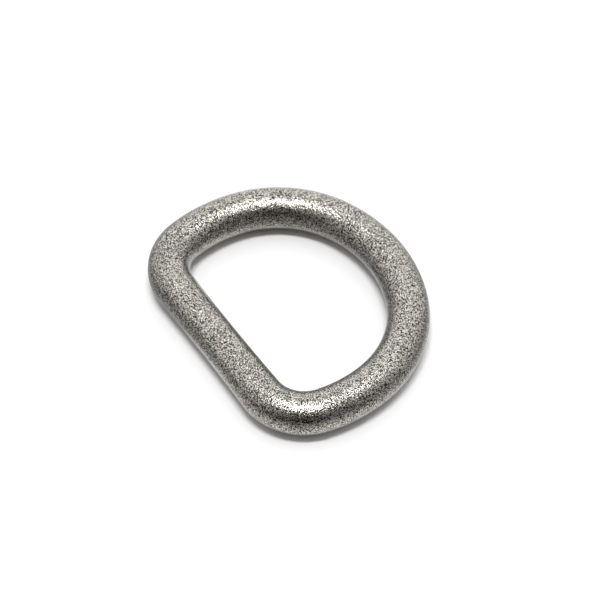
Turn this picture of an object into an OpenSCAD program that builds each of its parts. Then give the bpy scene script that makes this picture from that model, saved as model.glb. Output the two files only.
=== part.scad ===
// D ring: one cast loop of round wire, with a straight bar that a strap folds
// round and a rounded bow opposite it. It lies flat: the bar runs along X on
// the -Y side, the bow's crown points to +Y, and Z = 0 is the surface below.

/* [Opening] */
// Clear width inside the bow at its widest, along the bar
inner_w = 25; // [20:0.5:36]
// Clear depth from the middle of the bar to the crown of the bow
inner_d = 18; // [14:0.5:26]

/* [Wire] */
// Diameter of the wire in the corners and the bow
wire_d = 5; // [2:0.1:7]
// How much thinner the bar is at its middle than at its ends
bar_waist = 0.3; // [0.1:0.05:1]

/* [Outline] */
// Inside radius of the two corners beside the bar
corner_r = 3.2; // [1.5:0.1:5]
// Inside radius of the two shoulders of the bow
shoulder_r = 11.1; // [8:0.1:14]
// Angle that each corner turns through, in degrees
corner_turn = 77; // [68:1:85]
// Angle that each of the flatter sides turns through, in degrees
side_turn = 25.5; // [22:0.5:40]
// Angle that the flatter crown turns through from end to end, in degrees
crown_turn = 50; // [30:1:70]

/* [Hidden] */
$fn = 96;

// Facets of the very wide circle that cuts the bar's waist
waist_fn = 1800;

// The bar, the sides and the crown run a little way into the corners and
// shoulders at their ends, and are a hair thinner, so that no surfaces coincide
lap = 0.2;
seam = 0.01;

wire_r = wire_d / 2;
lapped_r = wire_r - seam;
bar_mid_r = wire_r - bar_waist / 2;

// Centreline of the wire: widest point, depth, and the two radii that are given
half_w = inner_w / 2 + lapped_r;
depth = bar_mid_r + inner_d + lapped_r;
corner_cl = corner_r + wire_r;
shoulder_cl = shoulder_r + wire_r;

// Heading of the centreline, in degrees from the bar, where each bend ends
corner_end = corner_turn;
side_end = corner_end + side_turn;
shoulder_end = 180 - crown_turn / 2;

// The side and crown radii are those that bring the outline to its clear width
// and depth, so they solve two linear equations:
//   side_x * side_cl + crown_x * crown_cl = rest_x
//   side_y * side_cl + crown_y * crown_cl = rest_y
side_x = 1 - sin(side_end);
crown_x = sin(shoulder_end);
rest_x = half_w - shoulder_cl * (sin(side_end) - sin(shoulder_end));
side_y = cos(corner_end) - cos(side_end);
crown_y = 1 + cos(shoulder_end);
rest_y = depth - corner_cl * (1 - cos(corner_end))
    - shoulder_cl * (cos(side_end) - cos(shoulder_end));
det = side_x * crown_y - crown_x * side_y;
side_cl = (rest_x * crown_y - crown_x * rest_y) / det;
crown_cl = (side_x * rest_y - rest_x * side_y) / det;

// Half length of the straight bar, which closes the outline
bar_half = half_w - corner_cl * sin(corner_end)
    - side_cl * (1 - sin(corner_end));

// Centre of each bend, reached from the one before it along their shared normal
corner_c = [bar_half, corner_cl];
side_c = next_centre(corner_c, corner_cl, side_cl, corner_end);
shoulder_c = next_centre(side_c, side_cl, shoulder_cl, side_end);
crown_c = [0, depth - crown_cl];

// The bar with its laps, and the shallow arc that thins it towards its middle
bar_l = 2 * (bar_half + lap);
waist_cut = lapped_r - bar_mid_r;
waist_r = (pow(bar_l / 2, 2) + pow(waist_cut, 2)) / (2 * waist_cut);

// Place of the bar's centreline that puts the middle of the ring at Y = 0
bar_y = (wire_r - lapped_r - depth) / 2;

function next_centre(centre, r, r_next, heading) =
    centre + (r - r_next) * [sin(heading), -cos(heading)];

// Wire bent round a centre, from one heading of the centreline to another
module bend(centre, r, from, to, lapped = false)
{
    extra = lapped ? lap / r * 180 / PI : 0;
    translate(centre)
        rotate_extrude(angle = to - from + 2 * extra, start = from - extra - 90)
            translate([r, 0])
                circle(r = lapped ? lapped_r : wire_r);
}

// Straight bar along X, thinnest at its middle
module bar()
{
    rotate([0, 90, 0])
        rotate_extrude()
            difference() {
                translate([0, -bar_l / 2])
                    square([lapped_r, bar_l]);
                translate([bar_mid_r + waist_r, 0])
                    circle(r = waist_r, $fn = waist_fn);
            }
}

// Corner, side and shoulder of the +X half
module flank()
{
    bend(corner_c, corner_cl, 0, corner_end);
    bend(side_c, side_cl, corner_end, side_end, lapped = true);
    bend(shoulder_c, shoulder_cl, side_end, shoulder_end);
}

// The whole ring, lying on Z = 0 with its centre over the origin
module d_ring()
{
    color("#8d8a85")
        translate([0, bar_y, wire_r]) {
            bar();
            flank();
            mirror([1, 0, 0])
                flank();
            bend(crown_c, crown_cl, shoulder_end, 360 - shoulder_end, lapped = true);
        }
}

d_ring();
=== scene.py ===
# D ring in antique silver, lying on a pale table under a soft overhead light.
# Lengths are in metres and turns in degrees, unless a note says otherwise.

import math

import bpy
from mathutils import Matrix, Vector


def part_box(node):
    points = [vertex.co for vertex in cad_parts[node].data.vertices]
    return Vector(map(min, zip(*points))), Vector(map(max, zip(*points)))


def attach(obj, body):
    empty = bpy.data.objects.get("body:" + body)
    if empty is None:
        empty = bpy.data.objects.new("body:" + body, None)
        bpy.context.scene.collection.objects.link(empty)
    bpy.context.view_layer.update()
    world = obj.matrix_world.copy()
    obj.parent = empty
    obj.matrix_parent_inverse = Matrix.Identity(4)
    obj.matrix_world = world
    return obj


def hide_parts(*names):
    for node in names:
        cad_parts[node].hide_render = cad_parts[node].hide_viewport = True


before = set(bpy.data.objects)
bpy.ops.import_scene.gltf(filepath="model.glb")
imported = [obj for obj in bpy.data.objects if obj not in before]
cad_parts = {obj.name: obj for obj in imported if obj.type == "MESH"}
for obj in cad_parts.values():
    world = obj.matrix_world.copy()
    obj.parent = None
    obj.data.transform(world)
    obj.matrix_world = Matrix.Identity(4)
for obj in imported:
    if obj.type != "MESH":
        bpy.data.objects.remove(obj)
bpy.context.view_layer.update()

cadLow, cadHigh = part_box("d_ring")
mm = 0.001
up = Vector((0, 0, 1))
print("frame loaded")


class Socket:
    # An output of a node. Arithmetic on it adds Math nodes to the same tree.
    def __init__(self, graph, node, output):
        self.graph = graph
        self.node = node
        self.link = node.outputs[output]

    def output(self, name):
        return Socket(self.graph, self.node, name)

    def math(self, operation, *values, clamp=False):
        settings = {"operation": operation, "use_clamp": clamp}
        return self.graph.add("ShaderNodeMath", settings, dict(enumerate(values)))

    def __add__(self, other):
        return self.math("ADD", self, other)

    def __radd__(self, other):
        return self.math("ADD", other, self)

    def __sub__(self, other):
        return self.math("SUBTRACT", self, other)

    def __rsub__(self, other):
        return self.math("SUBTRACT", other, self)

    def __mul__(self, other):
        return self.math("MULTIPLY", self, other)

    def __rmul__(self, other):
        return self.math("MULTIPLY", other, self)

    def __truediv__(self, other):
        return self.math("DIVIDE", self, other)

    def __rtruediv__(self, other):
        return self.math("DIVIDE", other, self)

    def __lt__(self, other):
        return self.math("LESS_THAN", self, other)

    def __gt__(self, other):
        return self.math("GREATER_THAN", self, other)

    def clamped(self):
        return self.math("ADD", self, 0.0, clamp=True)


class Graph:
    # A node tree, with one way to add any kind of node to it.
    def __init__(self, tree):
        self.tree = tree
        tree.nodes.clear()

    def add(self, kind, settings=None, values=None, output=0):
        node = self.tree.nodes.new(kind)
        for name, value in (settings or {}).items():
            if name == "stops":
                self.setStops(node.color_ramp, value)
            else:
                setattr(node, name, value)
        for name, value in (values or {}).items():
            if isinstance(value, Socket):
                self.tree.links.new(value.link, node.inputs[name])
            else:
                node.inputs[name].default_value = value
        return Socket(self, node, output) if node.outputs else None

    def setStops(self, ramp, stops):
        # grey stops, as (place, level)
        while len(ramp.elements) < len(stops):
            ramp.elements.new(1.0)
        for element, (place, level) in zip(ramp.elements, stops):
            element.position = place
            element.color = (level, level, level, 1)

    def smooth(self, value, low, high, outLow=0.0, outHigh=1.0):
        # eases from outLow to outHigh as value goes from low to high
        return self.add("ShaderNodeMapRange", {"interpolation_type": "SMOOTHSTEP"}, {
            "Value": value, "From Min": low, "From Max": high, "To Min": outLow, "To Max": outHigh})

    def blend(self, factor, first, second):
        # mixes two colours
        return self.add("ShaderNodeMix", {"data_type": "RGBA"}, {
            0: factor, 6: first, 7: second}, output=2)

    def grey(self, level):
        return self.add("ShaderNodeCombineColor", values={0: level, 1: level, 2: level})

    def part(self, vector, axis):
        # one coordinate of a vector, or one channel of a colour
        return self.add("ShaderNodeSeparateXYZ", values={0: vector}, output=axis)

    def along(self, vector, direction):
        # how far a vector reaches in a direction
        return self.add("ShaderNodeVectorMath", {"operation": "DOT_PRODUCT"}, {
            0: vector, 1: direction}, output="Value")


# The ring body: its outline, its wire and the unevenness of its cast skin

ringBody = {
    "cornerRadius": 5.7 * mm,      # centreline of the corners beside the bar
    "shoulderRadius": 13.6 * mm,   # centreline of the bow's shoulders
    "cornerTurn": 77,              # how far the wire turns in each corner, side and the crown
    "sideTurn": 25.5,
    "crownTurn": 50,
    "barWaist": 0.15 * mm,         # how much the bar's radius shrinks towards its middle
    "bendSteps": 256,              # points along each bend of the outline, before it is divided evenly
    "rings": 748,                  # sections along the wire
    "sides": 130,                  # points round each section
    "swellSize": 5 * mm,           # slow unevenness left by casting and polishing
    "swellDepth": 0.03 * mm,
    "dentSize": 0.9 * mm,          # soft knocks from the tumbling barrel
    "dentDepth": 0.012 * mm,
    "grainSize": 0.36 * mm,        # the etched grain
    "grainDepth": 0.016 * mm,
    "pitSpacing": 1.3 * mm,        # scattered deeper pits
    "pitReach": 0.14 * mm,
    "pitFloor": 0.2,               # share of a pit's reach that is its flat floor
    "pitDepth": 0.05 * mm,
    "pitShare": 0.25,              # how many of the spots hold a pit
    "seed": 7,
}


def heading(turn):
    return Vector((math.cos(math.radians(turn)), math.sin(math.radians(turn))))


def bendStart(turn):
    # from a bend's centre to its wire, where the wire heads at this turn
    return Vector((math.sin(math.radians(turn)), -math.cos(math.radians(turn))))


def bowBends(sizes, halfWidth, depth):
    # The bends from the bar's +X end to the crown, as (radius, start turn, end turn).
    # The side and crown radii bring the outline to its width and depth.
    cornerEnd = sizes["cornerTurn"]
    sideEnd = cornerEnd + sizes["sideTurn"]
    shoulderEnd = 180 - sizes["crownTurn"] / 2
    corner, side, shoulder = [heading(turn) for turn in (cornerEnd, sideEnd, shoulderEnd)]
    restX = halfWidth - sizes["shoulderRadius"] * (side.y - shoulder.y)
    restY = (depth - sizes["cornerRadius"] * (1 - corner.x)
             - sizes["shoulderRadius"] * (side.x - shoulder.x))
    sideX, crownX = 1 - side.y, shoulder.y
    sideY, crownY = corner.x - side.x, 1 + shoulder.x
    determinant = sideX * crownY - crownX * sideY
    sideRadius = (restX * crownY - crownX * restY) / determinant
    crownRadius = (sideX * restY - restX * sideY) / determinant
    return [
        (sizes["cornerRadius"], 0, cornerEnd),
        (sideRadius, cornerEnd, sideEnd),
        (sizes["shoulderRadius"], sideEnd, shoulderEnd),
        (crownRadius, shoulderEnd, 180),
    ]


def outlinePoints(sizes, halfWidth, depth):
    # Half of the outline as (place, turn, handle before, handle after), bar end to crown
    bends = bowBends(sizes, halfWidth, depth)
    cornerRadius, _, cornerEnd = bends[0]
    sideRadius = bends[1][0]
    cornerSine = math.sin(math.radians(cornerEnd))
    barHalf = halfWidth - cornerRadius * cornerSine - sideRadius * (1 - cornerSine)
    place = Vector((barHalf, 0))
    before = 2 * barHalf / 3
    points = []
    for radius, start, end in bends:
        handle = 4 / 3 * math.tan(math.radians(end - start) / 4) * radius   # the nearest to an arc
        points.append((place, start, before, handle))
        place = place + radius * (bendStart(end) - bendStart(start))
        before = handle
    points.append((place, 180, before, before))
    return barHalf, points


def drawOutline(sizes):
    # The closed centreline of the wire, as one Bezier spline on its bends
    wireRadius = (cadHigh.z - cadLow.z) / 2
    halfWidth = (cadHigh.x - cadLow.x) / 2 - wireRadius
    depth = cadHigh.y - cadLow.y - 2 * wireRadius
    barHalf, half = outlinePoints(sizes, halfWidth, depth)
    mirrored = [(Vector((-place.x, place.y)), 360 - turn, after, before)
                for place, turn, before, after in reversed(half[:-1])]
    curve = bpy.data.curves.new("ringOutline", "CURVE")
    curve.dimensions = "3D"
    curve.resolution_u = sizes["bendSteps"]
    spline = curve.splines.new("BEZIER")
    spline.bezier_points.add(len(half) + len(mirrored) - 1)
    spline.use_cyclic_u = True
    origin = Vector((0, cadLow.y + wireRadius, cadLow.z + wireRadius))
    for point, (place, turn, before, after) in zip(spline.bezier_points, half + mirrored):
        ahead = heading(turn).to_3d()
        point.handle_left_type = point.handle_right_type = "FREE"
        point.co = origin + place.to_3d()
        point.handle_left = point.co - before * ahead
        point.handle_right = point.co + after * ahead
    return curve, wireRadius, barHalf


def ringTree(inputs):
    # Sweeps the wire along the outline, thins the bar and works the cast skin inwards
    tree = bpy.data.node_groups.new("ringTree", "GeometryNodeTree")
    graph = Graph(tree)
    tree.interface.new_socket("Outline", in_out="INPUT", socket_type="NodeSocketGeometry")
    kinds = {int: "NodeSocketInt", float: "NodeSocketFloat"}
    for name, value in inputs.items():
        kind = kinds.get(type(value), "NodeSocketMaterial")
        tree.interface.new_socket(name, in_out="INPUT", socket_type=kind)
    tree.interface.new_socket("Ring", in_out="OUTPUT", socket_type="NodeSocketGeometry")
    given = graph.add("NodeGroupInput").output

    # the wire, waisted along the bar
    place = graph.add("GeometryNodeInputPosition")
    share = graph.part(place, "X") / given("Bar Half")
    onBar = graph.part(place, "Y") < 0.0
    waist = (1.0 - share * share).clamped() * onBar * given("Bar Waist")
    outline = graph.add("GeometryNodeResampleCurve", {"mode": "COUNT"}, {
        "Curve": given("Outline"), "Count": given("Rings")})
    outline = graph.add("GeometryNodeSetCurveNormal", {"mode": "Z_UP"}, {"Curve": outline})
    section = graph.add("GeometryNodeCurvePrimitiveCircle", {"mode": "RADIUS"}, {
        "Resolution": given("Sides"), "Radius": 1.0})
    ring = graph.add("GeometryNodeCurveToMesh", values={
        "Curve": outline, "Profile Curve": section, "Scale": given("Wire Radius") - waist})

    # the skin, always lowered and never raised, each layer with a seed of its own
    def unevenness(size, depth, shift):
        noise = graph.add("ShaderNodeTexNoise", {"noise_dimensions": "4D"}, {
            "Vector": place, "W": given("Seed") + shift, "Scale": 1.0 / given(size),
            "Detail": 1.0, "Roughness": 0.5})
        return noise * given(depth)

    swell = unevenness("Swell Size", "Swell Depth", 0.0)
    dents = unevenness("Dent Size", "Dent Depth", 3.0)
    grain = unevenness("Grain Size", "Grain Depth", 6.0)
    spots = graph.add("ShaderNodeTexVoronoi", {"voronoi_dimensions": "4D"}, {
        "Vector": place, "W": given("Seed"), "Scale": 1.0 / given("Pit Spacing")})
    draw = graph.part(spots.output("Color"), "X")
    reach = given("Pit Reach") / given("Pit Spacing")
    hollow = graph.smooth(spots.output("Distance"), reach, reach * given("Pit Floor"))
    pits = hollow * (draw < given("Pit Share")) * given("Pit Depth")
    inwards = graph.add("ShaderNodeVectorMath", {"operation": "SCALE"}, {
        0: graph.add("GeometryNodeInputNormal"), "Scale": -1.0 * (swell + dents + grain + pits)})
    ring = graph.add("GeometryNodeSetPosition", values={"Geometry": ring, "Offset": inwards})
    ring = graph.add("GeometryNodeSetShadeSmooth", values={"Geometry": ring, "Shade Smooth": True})
    ring = graph.add("GeometryNodeRealizeInstances", values={"Geometry": ring})
    ring = graph.add("GeometryNodeSetMaterial", values={"Geometry": ring, "Material": given("Finish")})
    graph.add("NodeGroupOutput", values={0: ring})
    return tree


def makeRing(sizes, finish):
    curve, wireRadius, barHalf = drawOutline(sizes)
    inputs = {
        "Rings": sizes["rings"], "Sides": sizes["sides"], "Seed": sizes["seed"],
        "Wire Radius": wireRadius, "Bar Half": barHalf, "Bar Waist": sizes["barWaist"],
        "Swell Size": sizes["swellSize"], "Swell Depth": sizes["swellDepth"],
        "Dent Size": sizes["dentSize"], "Dent Depth": sizes["dentDepth"],
        "Grain Size": sizes["grainSize"], "Grain Depth": sizes["grainDepth"],
        "Pit Spacing": sizes["pitSpacing"], "Pit Reach": sizes["pitReach"],
        "Pit Floor": sizes["pitFloor"], "Pit Depth": sizes["pitDepth"],
        "Pit Share": sizes["pitShare"], "Finish": finish,
    }
    source = bpy.data.objects.new("ringSource", curve)
    bpy.context.scene.collection.objects.link(source)
    modifier = source.modifiers.new("ringTree", "NODES")
    modifier.node_group = ringTree(inputs)
    for item in modifier.node_group.interface.items_tree:
        if item.name in inputs:
            modifier[item.identifier] = inputs[item.name]
    evaluated = source.evaluated_get(bpy.context.evaluated_depsgraph_get())
    mesh = bpy.data.meshes.new_from_object(evaluated)
    mesh.name = "ringBody"
    bpy.data.objects.remove(source)      # and its modifier with it
    piece = bpy.data.objects.new("ringBody", mesh)
    bpy.context.scene.collection.objects.link(piece)
    return piece


# The finish: silver plate, darkened with patina and rubbed bright on its high spots, with painted warm
# shade towards the table

silverFinish = {
    "bright": (0.715, 0.684, 0.614, 1),
    "dark": (0.015, 0.0135, 0.011, 1),
    "grainSize": 0.11 * mm,        # the soft part of the grain, which is its bump too
    "grainDetail": 1.0,
    "grainHeight": 0.045 * mm,
    "grainShare": 0.45,            # how much of the grain is that part; the rest are the specks
    "speckSize": 0.085 * mm,
    "cloudSize": 2.5 * mm,         # a slow drift between darker and brighter stretches
    "cloudDetail": 2.0,
    "cloudShare": 0.12,
    "noiseRoughness": 0.6,
    "rubbedLow": 0.455,            # all patina below this tone, and all silver above the next
    "rubbedHigh": 0.605,
    "pitSpacing": 0.9 * mm,        # pits that keep their patina
    "pitReach": 0.126 * mm,
    "pitFloor": 0.5,               # share of a pit's reach that is darkest
    "pitShare": 0.3,               # how many of the spots hold a pit
    "footShade": (0.21, 0.155, 0.065, 1),   # painted warm shade: the silver darkened brown near the table, to warm the contact shadow
    "footLow": 0.4 * mm,           # all painted shade below this height, and none above the next
    "footHigh": 1.3 * mm,
    "brightRoughness": 0.25,
    "darkRoughness": 0.34,
    "grazingGloss": 0.35,          # share of the roughness that is left at a slant
    "slantLow": 0.3,               # from this slant to the next
    "slantHigh": 0.9,
    "lacquer": 0.8,
    "lacquerRoughness": 0.16,
    "seeds": {"grain": 1 * mm, "pits": 3 * mm, "cloud": 9 * mm},   # along the noise's fourth direction
}


def antiqueSilver(finish):
    material = bpy.data.materials.new("antiqueSilver")
    material.use_nodes = True
    graph = Graph(material.node_tree)
    place = graph.add("ShaderNodeTexCoord", output="Object")
    seeds = finish["seeds"]

    def noise(size, detail, seed):
        return graph.add("ShaderNodeTexNoise", {"noise_dimensions": "4D"}, {
            "Vector": place, "W": seed, "Scale": 1 / size, "Detail": detail,
            "Roughness": finish["noiseRoughness"]})

    # grain and specks, drifting slowly, part the surface into patina and silver
    grain = noise(finish["grainSize"], finish["grainDetail"], seeds["grain"])
    cells = graph.add("ShaderNodeTexVoronoi", {"voronoi_dimensions": "3D"}, {
        "Vector": place, "Scale": 1 / finish["speckSize"]})
    speck = graph.part(cells.output("Color"), "X")
    cloud = noise(finish["cloudSize"], finish["cloudDetail"], seeds["cloud"])
    tone = finish["grainShare"] * grain + (1 - finish["grainShare"]) * speck
    tone = tone + finish["cloudShare"] * (cloud - 0.5)
    rubbed = graph.smooth(tone, finish["rubbedLow"], finish["rubbedHigh"])

    pits = graph.add("ShaderNodeTexVoronoi", {"voronoi_dimensions": "4D"}, {
        "Vector": place, "W": seeds["pits"], "Scale": 1 / finish["pitSpacing"]})
    draw = graph.part(pits.output("Color"), "X")
    reach = finish["pitReach"] / finish["pitSpacing"]
    rim = graph.smooth(pits.output("Distance"), finish["pitFloor"] * reach, reach)
    rubbed = rubbed * (1.0 - (draw < finish["pitShare"]) * (1.0 - rim))

    # painted warm shade, brown and dark near the table, which tints the contact shadow round the ring
    aboveFootShade = graph.smooth(graph.part(place, "Z"), finish["footLow"], finish["footHigh"])
    silver = graph.blend(aboveFootShade, finish["footShade"], finish["bright"])
    colour = graph.blend(rubbed, finish["dark"], silver)
    roughness = graph.smooth(rubbed, 0.0, 1.0, finish["darkRoughness"], finish["brightRoughness"])
    slant = graph.add("ShaderNodeLayerWeight", values={"Blend": 0.5}, output="Facing")
    gloss = graph.smooth(slant, finish["slantLow"], finish["slantHigh"], 1.0, finish["grazingGloss"])
    bump = graph.add("ShaderNodeBump", values={
        "Strength": 1.0, "Distance": finish["grainHeight"], "Height": grain})
    shader = graph.add("ShaderNodeBsdfPrincipled", values={
        "Base Color": colour, "Metallic": 1.0, "Roughness": roughness * gloss, "Normal": bump,
        "Coat Weight": finish["lacquer"], "Coat Roughness": finish["lacquerRoughness"],
        "Coat IOR": 1.5})
    graph.add("ShaderNodeOutputMaterial", values={"Surface": shader})
    return material


# The table. The camera sees its top, and the metal reflects a second surface just above it, which
# carries painted light and shade and a painted glow.

table = {
    "side": 6.0,                   # of the square top
    "colour": (0.96, 0.96, 0.965, 1),
    "roughness": 0.8,
    "lift": 0.02 * mm,             # from the top to the reflected surface
    "glow": 0.15,                  # painted glow: share of the reflected light that no shadow takes away
    # The painted light and shade that the metal reflects, brightest round the ring. Each stop is the
    # distance from the ring's middle, as a share of twice its width and depth, and the level there.
    "mirrored": [(0.05, 0.12), (0.11, 0.20), (0.14, 0.42), (0.175, 0.84), (0.26, 0.78),
                 (0.31, 0.58), (0.36, 0.45), (0.5, 0.30), (1.0, 0.17)],
    "farLevel": 0.72,              # its painted level beyond the ring
    "farStart": 12 * mm,
    "farEnd": 22 * mm,
    "nearLevel": 0.85,             # its painted level in a narrow strip before the ring
    "nearStrip": (18 * mm, 19.5 * mm, 20 * mm, 22 * mm),   # where that rises and falls
    "rightShare": 0.75,            # share of it that remains beside the ring, on either side, as painted shade
    "leftShare": 0.62,
    "sideStart": 12 * mm,
    "sideEnd": 16.2 * mm,
}


def paintedReflectionLevel(graph, sizes, towardsCamera, towardsRight):
    # painted light and shade for the reflected surface: the rings of the stops first, then the far
    # side, the near strip and the two sides
    place = graph.add("ShaderNodeTexCoord", output="Object")
    spread = (2 * (cadHigh.x - cadLow.x), 2 * (cadHigh.y - cadLow.y), 1)
    spot = graph.add("ShaderNodeVectorMath", {"operation": "DIVIDE"}, {0: place, 1: spread})
    away = graph.add("ShaderNodeVectorMath", {"operation": "LENGTH"}, {0: spot}, output="Value")
    level = graph.add("ShaderNodeValToRGB", {"stops": sizes["mirrored"]}, {"Fac": away})
    nearness = graph.along(place, towardsCamera)
    beyond = graph.smooth(nearness, -sizes["farStart"], -sizes["farEnd"])
    level = level + beyond * (sizes["farLevel"] - level)
    riseStart, riseEnd, fallStart, fallEnd = sizes["nearStrip"]
    before = graph.smooth(nearness, riseStart, riseEnd) * graph.smooth(nearness, fallEnd, fallStart)
    level = level + before * (sizes["nearLevel"] - level)
    sideways = graph.along(place, towardsRight)
    for side, share in ((1, sizes["rightShare"]), (-1, sizes["leftShare"])):
        level = level * graph.smooth(
            sideways, side * sizes["sideStart"], side * sizes["sideEnd"], 1.0, share)
    return level


def layTable(sizes, towardsCamera, towardsRight):
    # the top is seen and takes the shadow, and the mirrored surface, with its painted light, shade and
    # glow, shows only in the metal
    half = sizes["side"] / 2
    for name in ("tableTop", "tablePaintedReflection"):
        mirrored = name == "tablePaintedReflection"
        material = bpy.data.materials.new(name)
        material.use_nodes = True
        graph = Graph(material.node_tree)
        colour = sizes["colour"]
        # painted light and shade of the reflected table, with a painted glow
        if mirrored:
            colour = graph.grey(paintedReflectionLevel(graph, sizes, towardsCamera, towardsRight))
        shader = graph.add("ShaderNodeBsdfPrincipled", values={
            "Base Color": colour, "Roughness": sizes["roughness"], "Emission Color": colour,
            "Emission Strength": sizes["glow"] if mirrored else 0.0})
        graph.add("ShaderNodeOutputMaterial", values={"Surface": shader})
        height = sizes["lift"] if mirrored else 0.0
        corners = [(-half, -half, height), (half, -half, height),
                   (half, half, height), (-half, half, height)]
        mesh = bpy.data.meshes.new(name)
        mesh.from_pydata(corners, [], [(0, 1, 2, 3)])
        mesh.materials.append(material)
        floor = bpy.data.objects.new(name, mesh)
        floor.visible_glossy = mirrored
        floor.visible_camera = not mirrored
        floor.visible_diffuse = not mirrored
        floor.visible_shadow = not mirrored
        bpy.context.scene.collection.objects.link(floor)


# The light: soft lamps overhead, and a studio that is brightest beyond the table

studio = {
    # each lamp's lean to the right of straight up, and its brightness
    "lamps": {"leftLamp": (-7.0, 37.0), "middleLamp": (0.0, 29.0), "rightLamp": (7.0, 28.0)},
    "lampTilt": 6.5,               # how far the lamps lean towards the camera, from straight up
    "lampDistance": 2.0,
    "lampReach": 4.5,              # half the angle that a lamp fills, seen from the ring
    "overhead": 0.665,             # the studio's light from straight up
    "towardsFront": 0.69,          # added to it straight ahead, and taken away behind the camera
    "horizon": 0.46,               # share of the light that is left at the table's edge
    "horizonTop": 14.0,            # angle above the table where that loss ends
    # each white screen's turn to the right of straight ahead, its height and its brightness
    "screens": [(95, 52, 0.4), (-93, 37, 0.3)],
    "screenReach": 27,             # half the angle that a screen fills, soft to its edge
    "backdrop": (0.93, 0.93, 0.935, 1),    # what the camera sees instead of the studio
}


def hangLamps(light, towardsCamera, towardsRight):
    radius = light["lampDistance"] * math.tan(math.radians(light["lampReach"]))
    tilt = math.tan(math.radians(light["lampTilt"]))
    for name, (lean, brightness) in light["lamps"].items():
        sideways = math.tan(math.radians(lean))
        direction = (up + tilt * towardsCamera + sideways * towardsRight).normalized()
        lamp = bpy.data.lights.new(name, "AREA")
        lamp.shape = "DISK"
        lamp.size = 2 * radius
        lamp.energy = brightness * (math.pi * radius) ** 2    # in watts
        lampObject = bpy.data.objects.new(name, lamp)
        lampObject.location = light["lampDistance"] * direction
        lampObject.rotation_mode = "QUATERNION"
        lampObject.rotation_quaternion = direction.to_track_quat("Z", "Y")
        bpy.context.scene.collection.objects.link(lampObject)


def paintStudio(light, towardsCamera, towardsRight):
    world = bpy.data.worlds.new("studio")
    world.use_nodes = True
    bpy.context.scene.world = world
    graph = Graph(world.node_tree)
    sight = graph.add("ShaderNodeTexCoord", output="Generated")
    level = light["overhead"] - graph.along(sight, towardsCamera) * light["towardsFront"]
    horizonTop = math.sin(math.radians(light["horizonTop"]))
    level = level * graph.smooth(graph.part(sight, "Z"), 0.0, horizonTop, light["horizon"], 1.0)
    screenEdge = math.cos(math.radians(light["screenReach"]))
    for turn, height, brightness in light["screens"]:
        around, above = math.radians(turn), math.radians(height)
        flat = math.sin(around) * towardsRight - math.cos(around) * towardsCamera
        centre = math.cos(above) * flat + math.sin(above) * up
        level = level + graph.smooth(graph.along(sight, centre), screenEdge, 1.0, 0.0, brightness)
    shown = graph.add("ShaderNodeLightPath", output="Is Camera Ray")
    colour = graph.blend(shown, graph.grey(level), light["backdrop"])
    shader = graph.add("ShaderNodeBackground", values={"Color": colour})
    graph.add("ShaderNodeOutputWorld", values={"Surface": shader})


# The camera, at the photograph's angle

view = {
    "azimuth": 56.05,
    "elevation": 52.65,
    "distance": 252.8 * mm,
    "target": Vector((-1.216 * mm, 0.614 * mm, 0)),
    "lens": 129.87,                # in millimetres, as the sensor's width is
    "sensor": 36,
    "nearest": 10 * mm,            # nothing nearer to the camera is drawn
}


def placeCamera(sizes):
    around, above = math.radians(sizes["azimuth"]), math.radians(sizes["elevation"])
    towardsCamera = Vector((math.sin(around), -math.cos(around), 0))
    back = math.cos(above) * towardsCamera + math.sin(above) * up
    camera = bpy.data.cameras.new("camera")
    camera.lens = sizes["lens"]
    camera.sensor_width = sizes["sensor"]
    camera.clip_start = sizes["nearest"]
    cameraObject = bpy.data.objects.new("camera", camera)
    cameraObject.location = sizes["target"] + sizes["distance"] * back
    cameraObject.rotation_mode = "QUATERNION"
    cameraObject.rotation_quaternion = back.to_track_quat("Z", "Y")
    bpy.context.scene.collection.objects.link(cameraObject)
    bpy.context.scene.camera = cameraObject
    return towardsCamera, Vector((-towardsCamera.y, towardsCamera.x, 0))


towardsCamera, towardsRight = placeCamera(view)
layTable(table, towardsCamera, towardsRight)
hangLamps(studio, towardsCamera, towardsRight)
paintStudio(studio, towardsCamera, towardsRight)
bpy.context.scene.view_settings.view_transform = "Standard"
print("camera, table and light placed")

ring = makeRing(ringBody, antiqueSilver(silverFinish))
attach(ring, "root")
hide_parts("d_ring")
print("ring made with", len(ring.data.polygons), "faces")
